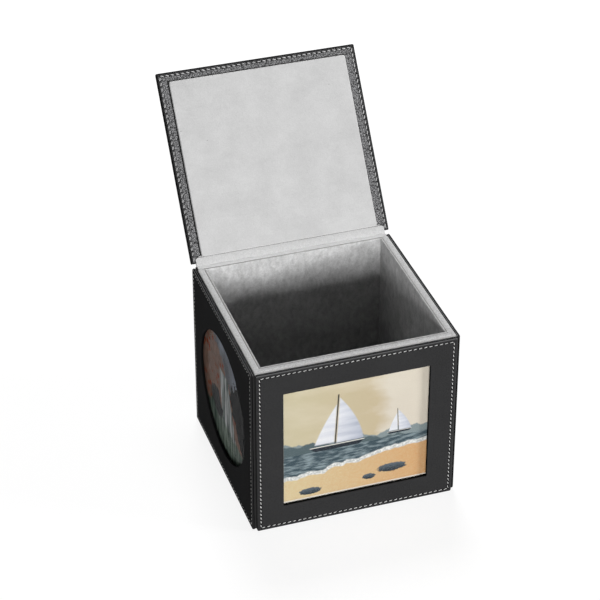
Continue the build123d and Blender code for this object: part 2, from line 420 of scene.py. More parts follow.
def suede_recipe(nap_axes, fibres, tufts, strokes, patches, specks=0.0, painted_brightness=1.0, depth_shade=0.0):
    """Grey nap, made uneven by its fibres, its tufts, strokes along the nap where it was brushed, and
    broad patches: each number says how strongly.  A small number in nap_axes draws the strokes out
    along that axis.  The brightness factor lightens or darkens the whole suede, as painted light or
    painted shade, and the depth factor is how dark painted shade makes the nap deep in the box.  Marks
    on the mesh say where painted light makes it paler and where painted shade darkens it."""
    def recipe(place):
        nap = warped(place, *nap_turns)
        grain = noise(place, nap_fibre, 3)
        clumps = noise(place, nap_tuft, 3)
        pile = (grain - 0.5) * fibres + (clumps - 0.5) * tufts
        pile = pile + (noise(stretched(nap, *nap_axes), nap_stroke, 3) - 0.5) * strokes
        pile = pile + (noise(nap, nap_patch, 3) - 0.5) * patches
        tone = tones((pile + 0.5).clamp(), suede_grey, 0.5 * painted_brightness, 1.5 * painted_brightness)
        # Painted shade: the nap is darkened towards black further below the rim.
        if depth_shade:
            depth = rim_z - place.node("SeparateXYZ", inputs={0: place}, output="Z")
            deep_shade = ((depth - shade_from) / (shade_to - shade_from)).clamp()
            tone = mix(deep_shade * depth_shade, tone, (0, 0, 0, 1))
        tone = mix(mark(place, "X"), tone, shade(suede_grey, 1.9))
        # Painted shade where the mesh is marked, mottled by the tufts.
        shade_share = mark(place, "Y") * (0.45 + clumps * 0.7)
        tone = mix(shade_share.clamp(), tone, shade(suede_grey, 0.18))
        if specks:
            spots = place.node("TexVoronoi", inputs={"Vector": place, "Scale": 1 / speck_spacing})
            tone = mix((0.030 - spots).inside(0.03) * specks, tone, shade(suede_grey, 0.25))
        return place.node("BsdfPrincipled", inputs={
            "Base Color": tone, "Roughness": 0.92, "Specular IOR Level": 0.12,
            "Sheen Weight": 0.12, "Sheen Roughness": 0.5,
            "Normal": bump(place, grain * 0.5 + clumps * 0.5, nap_depth)})
    return recipe


# The walls' suede is painted darker and the rim strips' lighter than the one suede's own grey: painted
# shade and painted light.
wall_suede = new_material("wall_suede", suede_recipe((1, 1, 0.45), 0.5, 0.3, 0.8, 0.6, painted_brightness=0.92,
                                                     depth_shade=0.5))
flat_suede = new_material("flat_suede", suede_recipe((1, 1, 1), 0.5, 0.2, 0.1, 0.15))
rim_suede = new_material("rim_suede", suede_recipe((1, 1, 1), 0.9, 0.4, 0.1, 0.2, painted_brightness=1.15))

for side, axis, sign in (("front", 1, -1), ("back", 1, 1), ("left", 0, -1), ("right", 0, 1)):
    low, high = (np.array(corner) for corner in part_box(f"{side}_lining_suede"))
    board_face, room_face = (low[axis], high[axis]) if sign < 0 else (high[axis], low[axis])
    thickness = abs(room_face - board_face)
    # The profile starts at the board, goes over the lip, down the room's side and back up behind.
    down = np.arange(rim_z - wall_row, low[2], -wall_row)
    depth = np.concatenate([lip_shares * thickness, np.full(len(down) + 1, thickness),
                            np.zeros(len(down) + 1)])
    z = np.concatenate([rim_z - lip_drops, down, [low[2], low[2]], down[::-1]])
    along = np.linspace(low[1 - axis], high[1 - axis], wall_columns)
    grid_z, grid_along = np.meshgrid(z, along, indexing="ij")
    waves = uneven(grid_along, grid_z, seed=axis * 2 + sign + 3)
    on_room_side = (depth > 0.9 * thickness)[:, None] & (grid_z < rim_z - wave_start)
    grid_depth = depth[:, None] - wave_depth * (0.5 + 0.5 * waves) * on_room_side
    points = np.zeros(grid_z.shape + (3,))
    points[..., axis] = board_face - sign * grid_depth
    points[..., 1 - axis] = grid_along
    points[..., 2] = grid_z
    points = points.transpose(1, 0, 2)
    shade_share = np.zeros(points.shape[:2])
    shade_share[:, :len(lip_shade)] = lip_shade
    lining = new_piece(f"{side}_wall_suede", points, tube_faces(points), [wall_suede], shade_marks(shade_share))
    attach(lining, "box")
    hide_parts(f"{side}_lining_suede")

low, high = (np.array(corner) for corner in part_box("base_lining_suede"))
x, y = np.meshgrid(np.linspace(low[0], high[0], floor_columns),
                   np.linspace(low[1], high[1], floor_rows), indexing="ij")
top = np.stack([x, y, high[2] - wave_depth * (0.5 + 0.5 * uneven(x, y, 9))], -1)
under = np.stack([x, y, np.full_like(x, low[2])], -1)[:, ::-1]
points = np.concatenate([top, under], 1)
floor_lining = new_piece("floor_suede", points, tube_faces(points), [flat_suede])
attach(floor_lining, "box")
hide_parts("base_lining_suede")

# ---- Suede strips over the rim
# A strip of suede is glued over the top of each wall board, turned a little way down its outside
# and mitred at the front corners.  Its inner edge is pressed down beside the wall's lip.
strip_rise = 0.30 * mm       # of its edges, above the board
strip_crown = 0.12 * mm      # and of its middle, above them
strip_edge = 0.45 * mm       # width of a rounded edge
flange_out, flange_down = 0.35 * mm, 1.1 * mm    # the part on the outside: thickness and height
mitre_dip = 0.16 * mm
mitre_width = 0.40 * mm
strip_columns = 91           # of the mesh along a strip,
end_column = 0.5 * mm        # and one more this near to each end
core_x, core_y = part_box("core_wrap")[1].x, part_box("core_wrap")[1].y
strip_width = core_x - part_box("right_rim_suede")[0].x
board_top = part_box("front_rim_suede")[0].z

# Across the strip from the wall's outer face, and up from the board: up the flange, over the
# rounded edge, along the crowned top and down to the seam.
arc = np.linspace(0, math.pi / 2, 6)
turn_in, turn_up = 1 - np.cos(arc), np.sin(arc)
middle = np.linspace(0, 1, 9)[1:-1]
across = np.concatenate([[0, -flange_out], -flange_out + (flange_out + strip_edge) * turn_in,
                         strip_edge + (strip_width - 2 * strip_edge) * middle,
                         strip_width - strip_edge * turn_in[::-1]])
height = np.concatenate([[-flange_down, -flange_down], strip_rise * turn_up,
                         strip_rise + strip_crown * np.sin(math.pi * middle),
                         strip_rise * turn_up[::-1]])
# Painted shade on the turned-down flange and in the crevice at the inner edge.
strip_shade = np.concatenate([[0.7, 0.7], np.linspace(0.7, 0, 6), 0 * middle,
                             [0, 0, 0.1, 0.4, 0.8, 1]])
# Each strip's corner at the outside, its length's direction, the way in from it, and which of its
# ends are mitred.
strips = {"front": ((-core_x, -core_y), (1, 0), (0, 1), (1, 1)),
          "left": ((-core_x, -core_y), (0, 1), (1, 0), (1, 0)),
          "right": ((core_x, -core_y), (0, 1), (-1, 0), (1, 0))}
for side, (corner, along_axis, inward, mitres) in strips.items():
    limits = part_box(f"{side}_rim_suede")
    full = (limits[1] - limits[0])[0 if side == "front" else 1]
    share = np.sort(np.concatenate([np.linspace(0, 1, strip_columns),
                                    [end_column / full, 1 - end_column / full]]))
    start, end = across[:, None] * mitres[0], full - across[:, None] * mitres[1]
    along = start + (end - start) * share
    nearest = np.minimum(along - start + (1 - mitres[0]), end - along + (1 - mitres[1]))
    dip = mitre_dip * np.exp(-(nearest / mitre_width) ** 2)
    surface = board_top + height[:, None] - dip * (height[:, None] > strip_rise / 3)
    flat = (np.array(corner) + along[..., None] * np.array(along_axis)
            + across[:, None, None] * np.array(inward))
    points = np.concatenate([flat, surface[..., None]], -1).transpose(1, 0, 2)
    strip = new_piece(f"{side}_rim_strip", points, tube_faces(points), [rim_suede],
                      shade_marks(np.broadcast_to(strip_shade, points.shape[:2])))
    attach(strip, "box")
    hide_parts(f"{side}_rim_suede")

# ---- Leather covers of the side panels
# Each panel is a board in one piece of leather, turned over all edges and over the edges of its
# window, and topstitched all round.  The front window is a rectangle, those at the sides are
# ovals, and the back panel is plain.
window_width = 107 * mm
window_height = 96 * mm
window_z = 67 * mm
face_round = 0.60 * mm       # rounding where the leather turns over an edge
back_round = 0.30 * mm
panel_corner = 1.1 * mm      # rounding of the panel's four corners
window_corner = 0.5 * mm
window_shade = 0.9            # how dark painted shade makes the leather where it is turned in round a window
turned_in = 6 * mm           # width of it behind the board
seam_inset = 2.6 * mm        # of the stitches, from the panel's edge
seam_width = 0.42 * mm
seam_depth = 0.20 * mm
edge_swell = 0.20 * mm       # the leather bulges a little between seam and edge
hole_offset = 0.25 * mm      # of the needle holes, inwards from the seam's line
hole_size = 0.45 * mm
hole_pull = 0.4              # share of the seam's depth that comes and goes between holes
seam_shade, hole_shade = 0.35, 0.55            # painted shade along the seam, and more at its holes
highlight_top, highlight_elsewhere = 1.0, 0.15     # wear of the edges, and how much painted highlight they get
smallest_corner = 0.02 * mm
stitch_lengths = (3.85 * mm, 3.35 * mm)      # from hole to hole, across and up a panel
sample_step = 0.55 * mm      # spacing of the mesh round a panel
rows_between = 6             # of the mesh between the seam and the window


def rectangle_samples(half_u, half_v, step):
    """Places round a rectangle, as shares from -1 to 1 of its half width and half height."""
    count_u, count_v = (max(8, int(round(2 * half / step))) for half in (half_u, half_v))
    u, v = np.linspace(-1, 1, count_u + 1)[:-1], np.linspace(-1, 1, count_v + 1)[:-1]
    one_u, one_v = np.ones(count_u), np.ones(count_v)
    return (np.concatenate([u, one_v, -u, -one_v]), np.concatenate([-one_u, v, one_u, -v]))


def rounded(share_u, share_v, half_u, half_v, radius):
    """Points round a rectangle.  One within a radius of a corner moves onto the corner's arc, by
    its share of the way to the corner."""
    radius = max(radius, smallest_corner)
    u, v = np.abs(share_u) * half_u, np.abs(share_v) * half_v
    on_end = np.abs(share_u) == 1
    from_corner = np.where(on_end, half_v - v, half_u - u)
    turn = np.clip(1 - from_corner / radius, 0, 1) * math.pi / 4
    long_way, short_way = radius * (np.sin(turn) - 1), radius * (np.cos(turn) - 1)
    u = np.where(turn > 0, half_u + np.where(on_end, short_way, long_way), u)
    v = np.where(turn > 0, half_v + np.where(on_end, long_way, short_way), v)
    return np.stack([np.sign(share_u) * u, np.sign(share_v) * v], -1)


def oval(share_u, share_v, half_u, half_v):
    """Points round an ellipse, each in the direction of its place on the rectangle."""
    turn = np.arctan2(share_v, share_u)
    return np.stack([half_u * np.cos(turn), half_v * np.sin(turn)], -1)


def quarter(radius, count=5):
    """A quarter circle of a rounded edge, as distances in from the edge and down from the face."""
    turn = np.linspace(0, math.pi / 2, count)
    return radius * (1 - np.sin(turn)), radius * (1 - np.cos(turn))


def stitch_phase(share_u, share_v, half_u, half_v, inset):
    """How far along its stitch a place on the seam is, from 0 at a hole to 1 at the next."""
    on_end = np.abs(share_u) == 1
    half = np.where(on_end, half_v, half_u) - inset
    count = np.round(2 * half / np.where(on_end, stitch_lengths[1], stitch_lengths[0]))
    return (np.where(on_end, share_v, share_u) * 0.5 + 0.5) * count


def seam_shadow(distance, phase, inset):
    """How dark painted shade makes the leather: darkest at the holes, just inside the seam's line."""
    along = (phase - np.round(phase)) * stitch_lengths[0]
    across = np.exp(-((distance - inset - hole_offset) / hole_size) ** 2)
    return across * (seam_shade + hole_shade * np.exp(-(along / hole_size) ** 2))


def seam_relief(distance, phase, inset, depth):
    """How deep the leather is pulled in: a channel along the seam, deepest at the holes, with a
    swell of the leather outside it."""
    pull = 1 - hole_pull + hole_pull * np.cos(2 * math.pi * phase)
    channel = np.exp(-((distance - inset) / seam_width) ** 2) * pull
    swell = np.clip(1 - ((distance - inset / 2) / (inset / 2)) ** 2, 0, 1)
    return depth * channel + edge_swell * (1 - swell)


# A panel's edge is rubbed along its two corners, which also get a painted highlight, and painted with
# shade between them, at these shares of its depth.  The rows of the mesh stand there and at these
# distances in from it on the face.
edge_marks = (([0, 0.02, 0.14, 0.26, 0.72, 0.82, 1], [0, 2, 2, 0, 0, 0.9, 0.9]),
              ([0, 0.14, 0.26, 0.72, 0.82, 1], [0, 0, 0.9, 0.9, 0, 0]))
edge_rows = np.array([0.14, 0.26, 0.45, 0.72])
face_insets = np.array([0.8, 1.1, 1.4, 1.7, 2.0, 2.2, 2.4, 2.6, 2.8, 3.0, 3.25, 3.5, 4.0, 4.8,
                        6.0]) * mm


def panel_shell(half_u, half_v, depth, opening, seam):
    """A covered board with rounded edges, as (rings, places, 5): across, up and out from its back, then
    how rubbed and lightened by a painted highlight the leather is, and how dark painted shade makes it.
    The top edge is rubbed most and gets the strongest painted highlight.

    The rings run from the back's inner edge out to the panel's edge, round to the face, in to
    the opening, round it and back.  Where there is no opening they stop on the face."""
    share_u, share_v = rectangle_samples(half_u, half_v, sample_step)
    phase = stitch_phase(share_u, share_v, half_u, half_v, seam)
    in_face, down_face = quarter(face_round)
    in_back, down_back = quarter(back_round)
    along_edge = depth * edge_rows
    insets = np.concatenate([[turned_in], in_back, 0 * along_edge, in_face[::-1], face_insets])
    outs = np.concatenate([[0], down_back, along_edge, depth - down_face[::-1],
                           np.full(len(face_insets), depth)])
    wear_and_highlight = np.where(share_v == 1, highlight_top, highlight_elsewhere)

    def ring(flat, out, shine=0.0, painted_shade=0.0):
        columns = [np.broadcast_to(value, phase.shape) for value in (out, shine, painted_shade)]
        return np.concatenate([flat, np.stack(columns, -1)], -1)

    rings = []
    for inset, out in zip(insets, outs):
        flat = rounded(share_u, share_v, half_u - inset, half_v - inset, panel_corner - inset)
        if out >= depth - 1e-9:
            rings.append(ring(flat, out - seam_relief(inset, phase, seam, seam_depth),
                              painted_shade=seam_shadow(inset, phase, seam)))
        else:
            shine, painted_shade = (np.interp(out / depth, *marks) for marks in edge_marks)
            rings.append(ring(flat, out - edge_swell * (out > depth / 2), wear_and_highlight * shine, painted_shade))
    if opening is None:
        return np.array(rings)
    grows = np.concatenate([in_face, in_back[::-1], [turned_in]])
    outs = np.concatenate([depth - down_face, down_back[::-1], [0]])
    # Painted shade deepens round the turn into the window.
    painted_shades = np.minimum(np.arange(len(grows)) / (len(in_face) - 1), window_shade)
    inner = [ring(opening(share_u, share_v, grow), min(out, depth - edge_swell), painted_shade=painted_shade)
             for grow, out, painted_shade in zip(grows, outs, painted_shades)]
    spread = np.linspace(0, 1, rows_between + 2)[1:-1, None, None]
    between = rings[-1] * (1 - spread) + inner[0] * spread
    return np.concatenate([rings, between, inner])


sides = {"front": ((1, 0, 0), (0, -1, 0)), "right": ((0, 1, 0), (1, 0, 0)),
         "back": ((-1, 0, 0), (0, 1, 0)), "left": ((0, -1, 0), (-1, 0, 0))}


def panel_place(side):
    """A panel's half width, half height and depth, its directions across and outwards, and the
    middle of its back."""
    low, high = (np.array(corner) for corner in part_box(f"{side}_panel_leather"))
    across, outward = (np.array(axis, float) for axis in sides[side])
    size = high - low
    half_u, half_v, depth = abs(size @ across) / 2, size[2] / 2, abs(size @ outward)
    back = (low + high) / 2 - outward * depth / 2
    return half_u, half_v, depth, across, outward, back


def on_panel(side, local):
    """Points across, up and out on a panel, brought to the box's own frame."""
    _, _, _, across, outward, back = panel_place(side)
    return (back + local[..., :1] * across + local[..., 1:2] * np.array((0, 0, 1.0))
            + local[..., 2:3] * outward)


for side in sides:
    half_u, half_v, depth, _, _, back = panel_place(side)
    lift = window_z - back[2]

    def opening(share_u, share_v, grow):
        half = window_width / 2 + grow, window_height / 2 + grow
        flat = (rounded(share_u, share_v, *half, window_corner + grow) if side == "front"
                else oval(share_u, share_v, *half))
        return flat + (0, lift)

    plain = side == "back"
    shell = panel_shell(half_u, half_v, depth, None if plain else opening, seam_inset)
    faces = tube_faces(shell) if plain else grid_faces(*shell.shape[:2], True, True)
    cover = new_piece(f"{side}_panel_cover", on_panel(side, shell), faces, [panel_leather],
                      shell[..., 3:])
    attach(cover, "box")
    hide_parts(f"{side}_panel_leather")

# ---- Topstitching of the side panels
# White waxed thread, three quarters of each stitch on top.  Every stitch rises out of its hole,
# lies a little aslant and dives into the next.
thread_white = (0.77, 0.77, 0.76, 1)
thread_half_width = 0.26 * mm
thread_half_height = 0.20 * mm
stitch_share = 0.76          # of the distance between holes
stitch_sink = 0.04 * mm      # of its middle, into the leather
stitch_dive = 0.42 * mm      # of its ends, below its middle
stitch_slant = 0.34 * mm     # of its ends, from the seam's line
side_slant = 0.10 * mm       # the other panels' seams run straighter than the front's
stitch_rings, stitch_sides = 9, 8    # of its mesh: along it and round it
thread_twists = 3.0          # per stitch
twist_depth = 0.05 * mm


def thread_recipe(colour):
    def recipe(place):
        strands = place.node("UVMap", {"uv_map": "finish"})
        twist = strands.node("TexWave", {"wave_type": "BANDS", "bands_direction": "DIAGONAL"},
                             {"Vector": strands, "Scale": 1.2})
        return place.node("BsdfPrincipled", inputs={
            "Base Color": tones(twist, colour, 0.72, 1.1), "Roughness": 0.6, "Sheen Weight": 0.1,
            "Normal": bump(place, twist, twist_depth)})
    return recipe


white_thread = new_material("white_thread", thread_recipe(thread_white))


def stitches(start, end, out, count, size, slant):
    """Stitches from start to end of a seam, as (stitch, ring, place round it, 3).

    Each is a bent bead: its middle line is an arch of the fourth power over the leather, and its
    section an ellipse that closes at both ends."""
    start, end = np.array(start, float), np.array(end, float)
    step = (end - start) / count
    direction = step / np.linalg.norm(step)
    aside = np.array((-direction[1], direction[0]))
    middles = start + (np.arange(count)[:, None] + 0.5) * step
    way = np.linspace(-1, 1, stitch_rings)
    width = np.sqrt(np.clip(1 - way ** 6, 0, 1))
    arch = out - stitch_sink - stitch_dive * way ** 4
    turn = np.linspace(0, 2 * math.pi, stitch_sides + 1)[:-1]
    reach = way * np.linalg.norm(step) * stitch_share / 2
    line = middles[:, None] + reach[:, None] * direction + (way * slant)[:, None] * aside
    sideways = width[:, None] * thread_half_width * size * np.cos(turn)
    flat = line[:, :, None] + sideways[..., None] * aside
    height = arch[:, None] + width[:, None] * thread_half_height * size * np.sin(turn)
    height = np.broadcast_to(height, flat.shape[:3])
    return np.concatenate([flat, height[..., None]], -1)


def seam_piece(name, corners, counts, out, place_points, body, size, slant, thread):
    """One mesh of all the stitches from corner to corner, with a UV map of their length and girth."""
    beads = np.concatenate([stitches(start, end, out, count, size, slant)
                            for start, end, count in zip(corners, corners[1:], counts)])
    count, rings, round_count = beads.shape[:3]
    one = grid_faces(rings, round_count, closed_columns=True)
    faces = (one + (np.arange(count) * rings * round_count)[:, None, None]).reshape(-1, 4)
    length, girth = np.meshgrid(np.linspace(0, thread_twists, rings),
                                np.linspace(0, 1, round_count), indexing="ij")
    uv = np.broadcast_to(np.stack([length, girth], -1), beads.shape[:3] + (2,))
    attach(new_piece(name, place_points(beads), faces, [thread], uv), body)


for side in sides:
    half_u, half_v, depth, _, _, _ = panel_place(side)
    u, v = half_u - seam_inset, half_v - seam_inset
    counts = [int(round(2 * half / length)) for half, length in zip((u, v), stitch_lengths)] * 2
    seam_piece(f"{side}_panel_stitches", [(-u, -v), (u, -v), (u, v), (-u, v), (-u, -v)], counts,
               depth - edge_swell, lambda beads: on_panel(side, beads), "box", 1,
               stitch_slant if side == "front" else side_slant, white_thread)

# ---- Prints
# Glossy paper prints stand loose in the pockets.  Their pictures are made up: sails off a sandy
# shore in front, a waterfall at the left and hills over a lake at the right.
paper_white = (0.80, 0.80, 0.78, 1)


def rgb(code):
    """A colour from its six-digit code, made linear."""
    channels = np.array([int(code[i:i + 2], 16) for i in (0, 2, 4)]) / 255
    linear = np.where(channels <= 0.04045, channels / 12.92, ((channels + 0.055) / 1.055) ** 2.4)
    return tuple(float(channel) for channel in linear) + (1,)


def hues(share, first, second):
    """From one colour code to another."""
    return mix(share, rgb(first), rgb(second))


def painted(picture, *layers):
    """A picture with layers over it: for each, a mask and the colour, or its code, laid there."""
    for mask, colour in layers:
        picture = mix(mask, picture, rgb(colour) if isinstance(colour, str) else colour)
    return picture


def picture_axes(place, axis):
    """Across and up in the picture, from -1 to 1 over the window."""
    parts = {name: place.node("SeparateXYZ", inputs={0: place}, output=name) for name in "XYZ"}
    return parts[axis] / (window_width / 2), (parts["Z"] - window_z) / (window_height / 2)


def shore_picture(place):
    """Beige sky, two white sails, slate water and orange sand with dark stones."""
    u, v = picture_axes(place, "X")
    cloud = noise(stretched(place, 0.5, 1, 1.6), 16 * mm, 5) - 0.5
    ripple = noise(stretched(place, 0.22, 1, 1), 2.2 * mm, 4)
    grit = noise(place, 1.4 * mm, 5)
    hills = (noise(stretched(place, 1, 1, 0), 22 * mm, 4) - 0.5) * 0.5 - 0.02 - v
    near_hills = (noise(stretched(place, 1.3, 1, 0), 17 * mm, 4) - 0.5) * 0.4 - 0.10 - v - u * 0.1
    # The shore is a slanted line with scallops of foam.
    shore = -0.50 + u * 0.14 + (noise(stretched(place, 1, 1, 0.1), 14 * mm, 2) - 0.5) * 0.25 - v
    picture = painted(
        hues((u * 0.5 + 0.5 + cloud * 0.5).clamp(), "d2c8a8", "ccb898"),
        ((u - 0.35 + cloud * 0.6).inside(0.25) * 0.8, "e6dfd2"),
        ((cloud * 3 + v * 0.5).clamp() * 0.35, "f0ead8"),
        (hills.inside(0.02), "8d9a9c"),
        (near_hills.inside(0.02), "5d6c70"),
        ((-0.18 - v).inside(0.012), hues(((ripple - 0.45) * 5).clamp(), "4a5a62", "93a3a8")),
        ((shore + 0.07).inside(0.02), hues(((grit - 0.4) * 4).clamp(), "c9ccca", "fbfbf8")),
        (shore.inside(0.02), hues((u * 0.4 + 0.5 + (grit - 0.5) * 0.8).clamp(), "e2d2a8", "d9a774")))
    for centre_u, centre_v, half_u, half_v in ((0.52, -0.74, 0.20, 0.075), (0.20, -0.83, 0.09, 0.05),
                                               (-0.62, -0.88, 0.15, 0.06)):
        across, up = (u - centre_u) / half_u, (v - centre_v) / half_v
        stone = 1 - (across * across + up * up).math("SQRT") + (grit - 0.5) * 0.6
        top = hues((up * 0.5 + 0.5 + (grit - 0.5)).clamp(), "2f363b", "66717a")
        picture = painted(picture, (stone.inside(0.12), top))
    # Each boat has a mast, a mainsail behind it, a smaller foresail and a dark hull.
    for centre_u, foot, size, tilt in ((-0.28, -0.13, 1.0, 0.05), (0.60, -0.10, 0.46, -0.04)):
        across, up = (u - centre_u - (v - foot) * tilt) / size, (v - foot) / size
        belly = up * (0.86 - up) * 0.35
        main = (across - 0.02).inside(0.02) * (0.40 - across - up * 0.46 + belly).inside(0.02)
        main = main * (up - 0.04).inside(0.02) * (0.86 - up).inside(0.02)
        fore = (-0.015 - across).inside(0.02) * (across + 0.30 - up * 0.42 + belly * 0.6).inside(0.02)
        folds = noise(stretched(place, 0.4, 1, 2.2), 9 * mm, 2)
        panels = (up * 46).math("SINE").inside(0.9) * 0.12
        mast = (0.010 - across.math("ABSOLUTE")).inside(0.008) * (0.90 - up).inside(0.02)
        hull = (0.045 - (up + 0.012).math("ABSOLUTE")).inside(0.01)
        hull = hull * (0.36 + up - (across - 0.03).math("ABSOLUTE")).inside(0.02)
        stripe = (0.008 - (up - 0.018).math("ABSOLUTE")).inside(0.006)
        picture = painted(
            picture,
            (main, hues((across * 1.6 + folds * 0.8 - 0.1 + panels).clamp(), "fafbff", "b9bfce")),
            (fore * (up - 0.06).inside(0.02), hues(folds, "ffffff", "cfd3df")),
            (mast * (up + 0.02).inside(0.02), "4b4742"),
            (hull, "353b42"),
            (stripe * hull, "e8e6e0"))
    margin = (u * -1).math("MAXIMUM", v.math("ABSOLUTE")) - 0.984
    return painted(picture, (margin.inside(0.01) * 0.8, "eeece6"))


def lake_picture(place):
    """A strip of sky, slanting hills, a meadow with blossoms and a lake with reeds."""
    u, v = picture_axes(place, "Y")
    u = u * -1
    cloud = noise(place, 13 * mm, 5)
    grass = noise(stretched(place, 1, 1, 0.35), 2.4 * mm, 4)
    ripple = noise(stretched(place, 1, 0.2, 1), 2.0 * mm, 3)
    heads = place.node("TexVoronoi", inputs={"Vector": place, "Scale": 1 / (6.5 * mm)})
    ridge = 0.52 - u * 0.25 + (noise(stretched(place, 1, 1, 0), 15 * mm, 4) - 0.5) * 0.5 - v
    slope = 0.28 + u * 0.45 + (noise(stretched(place, 1, 1, 0.2), 18 * mm, 3) - 0.5) * 0.5 - v
    flowery = ((cloud - 0.46) * 9).clamp() * (slope - 0.1).inside(0.1)
    shore = -0.12 + u * 0.55 + (cloud - 0.5) * 0.3 - v
    bank = -0.62 - u * 0.25 + (grass - 0.5) * 0.5 - v
    return painted(
        tones(((cloud - 0.5) * 2 + v * 0.5).clamp(), rgb("a9b9c6"), 1, 1.6),
        (ridge.inside(0.02), tones(cloud, rgb("6f8078"), 0.7, 1.3)),
        (slope.inside(0.02), tones(grass, rgb("8d8f66"), 0.65, 1.4)),
        ((0.30 - heads).inside(0.08) * flowery, "c79a52"),
        (shore.inside(0.02), tones(((ripple - 0.4) * 4).clamp(), rgb("7f9fb0"), 0.7, 1.25)),
        (bank.inside(0.04), tones(grass, rgb("3f463c"), 0.6, 1.5)))


def gorge_picture(place):
    """Pale sky over a rusty slope, dark rocks, and a waterfall that ends in a greenish pool."""
    u, v = picture_axes(place, "Y")
    u = u * -1
    cloud = noise(place, 14 * mm, 4)
    rough = noise(place, 5 * mm, 5)
    fall = noise(stretched(place, 1, 1, 0.12), 3.0 * mm, 3)
    leaves = place.node("TexVoronoi", inputs={"Vector": place, "Scale": 1 / (7 * mm)})
    slope = (0.42 - u * 0.75 + (rough - 0.5) * 0.5 - v).inside(0.03)
    rock = u * 1.5 - 0.15 - (v - 0.12).math("ABSOLUTE") * 1.3 + (rough - 0.5) * 0.9
    spray = 0.21 + (0.1 - v) * 0.14 - (u + 0.02 + v * 0.22).math("ABSOLUTE") + (rough - 0.5) * 0.1
    boulder = ((u + 0.45) * (u + 0.45) + (v + 0.42) * (v + 0.42)).math("SQRT")
    boulder = 0.26 - boulder + (rough - 0.5) * 0.3
    pool = -0.55 + (cloud - 0.5) * 0.4 - v
    return painted(
        hues(((cloud - 0.5) * 3 + v * 0.4).clamp(), "7f8288", "bcc6d6"),
        (slope, hues(rough, "6d584e", "cfa896")),
        ((0.30 - leaves).inside(0.1) * slope * (cloud - 0.42).inside(0.1), "b0522f"),
        (rock.inside(0.04), hues(rough, "040405", "25272b")),
        (spray.inside(0.03) * (0.34 - v).inside(0.03),
         hues(((fall - 0.42) * 5).clamp(), "6f7f7a", "f4f8f8")),
        (boulder.inside(0.03), hues(rough, "121416", "4d5152")),
        (pool.inside(0.05), hues(((fall - 0.4) * 4).clamp(), "5a6b63", "a9bbac")))


def print_recipe(axis, sign, picture):
    """The picture on the face that looks out, and bare paper on the rest."""
    def recipe(place):
        normal = place.node("TexCoord", output="Normal")
        outward = normal.node("SeparateXYZ", inputs={0: normal}, output=axis) * sign
        tone = mix((outward - 0.5).inside(0.1), paper_white, picture(place))
        return place.node("BsdfPrincipled", inputs={
            "Base Color": tone, "Roughness": 0.35 + noise(place, 20 * mm) * 0.05,
            "Specular IOR Level": 0.0})
    return recipe


# The way each picture faces, and what it shows.
pictures = {"front": ("Y", -1, shore_picture), "left": ("X", -1, gorge_picture),
            "right": ("X", 1, lake_picture)}
for side, (axis, sign, picture) in pictures.items():
    dress(f"{side}_print", new_material(f"{side}_photograph", print_recipe(axis, sign, picture)))

# ---- Clear sheets over the prints
# A thin sheet of clear plastic stands loose in each pocket, between the panel and the print, and
# keeps the print flat and clean.  Handling has scuffed it a little.
sheet_gloss = 0.025          # share of a full mirror-like reflection that a scuffed sheet keeps
scuff_gloss = 0.015          # how much its scuffs change that
scuff_size = 6 * mm
sheet_clearness = (0.97, 0.97, 0.97, 1)


def clear_recipe(place):
    scuffs = noise(place, scuff_size, 4)
    facing = place.node("Fresnel", inputs={"IOR": 1.45})
    return place.node("MixShader", inputs={
        0: facing * (sheet_gloss + (scuffs - 0.5) * scuff_gloss),
        1: place.node("BsdfTransparent", inputs={"Color": sheet_clearness}),
        2: place.node("BsdfGlossy", inputs={"Color": (1, 1, 1, 1), "Roughness": 0.10})})


clear_plastic = new_material("clear_plastic", clear_recipe)
for side in pictures:
    dress(f"{side}_window", clear_plastic)

# ---- Leather cover of the lid
# One piece of leather goes over the outside of the lid board and is turned in on three edges as a
# border, mitred at the free corners and cut back on a slant beside the hinge.
hinge = frame["joints"][0]
_, hinge_y, hinge_z = hinge["pos_m"]
lid_slope = math.pi + math.radians(hinge["range_deg"][0])    # of the open lid, above the horizontal
lid_thickness = 3.8 * mm
lid_start = 1.2 * mm         # from the hinge line to the lid board
lid_end = 141.4 * mm         # and to its free edge
lid_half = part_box("lid_leather")[1].x
border_depth = 0.42 * mm     # from the border's face down to the board
lid_seam_inset = 2.45 * mm
lid_seam_depth = 0.30 * mm
lid_face_round = 1.0 * mm
lid_corner = 1.0 * mm
lining_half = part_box("lid_lining_suede")[1].x
hinge_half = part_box("hinge_leather")[1].x
lining_start, lining_end = 5.3 * mm, 134.4 * mm
slant_start, slant_end = 4.1 * mm, 7.0 * mm
border_foot = 2.1 * mm       # from the hinge line to where the border starts inside
# The groove pressed beside the lining: its width at the left, at the right and on the far side,
# and how far down the border goes in it, at these shares of that width.
groove_left, groove_right, groove_far = 0.95 * mm, 0.25 * mm, 0.55 * mm
groove_rows = ((1.25, edge_swell), (1, 0.30 * mm), (0.6, 0.40 * mm), (0, border_depth))
mitre_length = 9 * mm        # from the corner, along the two edges
crease_depth = 0.22 * mm
crease_width = 0.35 * mm
